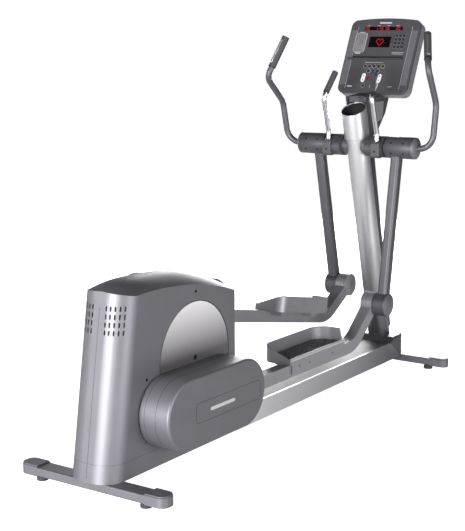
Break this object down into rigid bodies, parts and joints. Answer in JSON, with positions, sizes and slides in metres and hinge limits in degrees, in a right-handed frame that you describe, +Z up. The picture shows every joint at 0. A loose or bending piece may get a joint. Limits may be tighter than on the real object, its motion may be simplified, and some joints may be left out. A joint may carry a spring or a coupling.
{
  "type": "elliptical trainer",
  "caption": "Rear-drive elliptical trainer with a drive housing, swinging pedal levers, moving and fixed handles, a leaning column with a bottle holder and a console with keys",
  "frame": {"origin": "on the floor under the middle of the bounding box", "axes": "+X to the user's right, across the machine; +Y forward, from the drive housing to the console; +Z up"},
  "size_m": [0.7546, 2.17, 1.5974],
  "materials": {
    "silver_paint": "satin",
    "silver_panel": "satin",
    "dark_panel": "matte",
    "dark_paint": "satin",
    "clamp_metal": "satin",
    "bright_column": "satin",
    "bright_disc": "gloss",
    "handle_metal": "satin",
    "grip_rubber": "matte",
    "bare_steel": "satin",
    "wheel_iron": "matte",
    "display_plastic": "gloss",
    "key_plastic": "matte",
    "stop_plastic": "gloss",
    "board_plastic": "matte"
  },
  "bodies": {
    "base": {"axle_bearings": "bare_steel", "base_frame": "silver_paint", "base_side_panels": "silver_panel", "base_top_cover": "dark_panel", "bottle_holder": "bright_column", "bracket_side_covers": "silver_panel", "column": "bright_column", "column_front_cover": "dark_panel", "console_back": "dark_panel", "console_board": "board_plastic", "console_bracket": "dark_panel", "console_display": "display_plastic", "console_front": "dark_panel", "cover_screws": "bare_steel", "drive_belt": "grip_rubber", "drive_bracket": "bare_steel", "fixed_grips": "grip_rubber", "fixed_handles": "handle_metal", "front_end_cap": "dark_panel", "front_stabilizer": "silver_paint", "generator_stator": "bare_steel", "handle_clamps": "clamp_metal", "housing_top_cover": "dark_panel", "left_housing_shell": "silver_panel", "pivot_crossbar": "dark_paint", "pivot_shaft": "bare_steel", "rear_stabilizer": "silver_paint", "right_housing_shell": "silver_panel", "stabilizer_end_caps": "silver_panel"},
    "crank": {"crank_axle": "bare_steel", "crank_arms": "bare_steel", "crank_discs": "bright_disc", "drive_pulley": "clamp_metal"},
    "flywheel_rotor": {"flywheel": "wheel_iron"},
    "right_arm": {"right_swing_arm": "dark_paint", "right_joint_pin": "bare_steel", "right_arm_caps": "silver_panel", "right_moving_handle": "dark_paint", "right_moving_grip": "grip_rubber"},
    "right_lever": {"right_pedal_lever": "silver_paint", "right_pedal_tray": "silver_panel", "right_pedal_mat": "grip_rubber", "right_link_cover": "silver_panel"},
    "left_arm": {"left_swing_arm": "dark_paint", "left_joint_pin": "bare_steel", "left_arm_caps": "silver_panel", "left_moving_handle": "dark_paint", "left_moving_grip": "grip_rubber"},
    "left_lever": {"left_pedal_lever": "silver_paint", "left_pedal_tray": "silver_panel", "left_pedal_mat": "grip_rubber", "left_link_cover": "silver_panel"},
    "rear_right_foot": {"rear_right_levelling_foot": "grip_rubber"},
    "rear_left_foot": {"rear_left_levelling_foot": "grip_rubber"},
    "front_right_foot": {"front_right_levelling_foot": "grip_rubber"},
    "front_left_foot": {"front_left_levelling_foot": "grip_rubber"},
    "number_pad": {"number_keys": "key_plastic"},
    "program_pad": {"program_keys": "key_plastic"},
    "level_pad": {"level_keys": "key_plastic"},
    "stop_button": {"stop_key": "stop_plastic"}
  },
  "joints": [
    {"name": "crank_turn", "type": "hinge", "parent": "base", "child": "crank", "pos_m": [0, -0.59, 0.394], "axis": [1, 0, 0], "range_deg": [-23, 135]},
    {"name": "flywheel_spin", "type": "hinge", "parent": "base", "child": "flywheel_rotor", "pos_m": [0, -0.8, 0.3], "axis": [1, 0, 0], "continuous": true},
    {"name": "right_arm_swing", "type": "hinge", "parent": "base", "child": "right_arm", "pos_m": [0, 0.773, 1.046], "axis": [1, 0, 0], "range_deg": [-4.8, 27.9]},
    {"name": "left_arm_swing", "type": "hinge", "parent": "base", "child": "left_arm", "pos_m": [0, 0.773, 1.046], "axis": [1, 0, 0], "range_deg": [-26.7, 4.6]},
    {"name": "right_lever_pivot", "type": "hinge", "parent": "right_arm", "child": "right_lever", "pos_m": [0, 0.65863, 0.3696], "axis": [1, 0, 0], "range_deg": [-32.4, 5.6]},
    {"name": "left_lever_pivot", "type": "hinge", "parent": "left_arm", "child": "left_lever", "pos_m": [0, 0.92338, 0.37669], "axis": [1, 0, 0], "range_deg": [-5.6, 32.4]},
    {"name": "rear_right_foot_turn", "type": "hinge", "parent": "base", "child": "rear_right_foot", "pos_m": [0.234, -1.049, 0], "axis": [0, 0, 1], "continuous": true},
    {"name": "rear_left_foot_turn", "type": "hinge", "parent": "base", "child": "rear_left_foot", "pos_m": [-0.234, -1.049, 0], "axis": [0, 0, 1], "continuous": true},
    {"name": "front_right_foot_turn", "type": "hinge", "parent": "base", "child": "front_right_foot", "pos_m": [0.234, 1.046, 0], "axis": [0, 0, 1], "continuous": true},
    {"name": "front_left_foot_turn", "type": "hinge", "parent": "base", "child": "front_left_foot", "pos_m": [-0.234, 1.046, 0], "axis": [0, 0, 1], "continuous": true},
    {"name": "number_pad_press", "type": "slide", "parent": "base", "child": "number_pad", "axis": [0, 0.9085, -0.4179], "range_m": [0, 0.001], "stiffness_N_per_m": 700},
    {"name": "program_pad_press", "type": "slide", "parent": "base", "child": "program_pad", "axis": [0, 0.9085, -0.4179], "range_m": [0, 0.001], "stiffness_N_per_m": 700},
    {"name": "level_pad_press", "type": "slide", "parent": "base", "child": "level_pad", "axis": [0, 0.9085, -0.4179], "range_m": [0, 0.001], "stiffness_N_per_m": 700},
    {"name": "stop_button_press", "type": "slide", "parent": "base", "child": "stop_button", "axis": [0, 0.9085, -0.4179], "range_m": [0, 0.001], "stiffness_N_per_m": 700}
  ],
  "couplings": [
    {"joint": "right_arm_swing", "follows": "crank_turn", "ratio": 0.20596},
    {"joint": "left_arm_swing", "follows": "crank_turn", "ratio": -0.19735},
    {"joint": "right_lever_pivot", "follows": "crank_turn", "ratio": -0.23952},
    {"joint": "left_lever_pivot", "follows": "crank_turn", "ratio": 0.23966},
    {"joint": "flywheel_spin", "follows": "crank_turn", "ratio": 9.375}
  ]
}
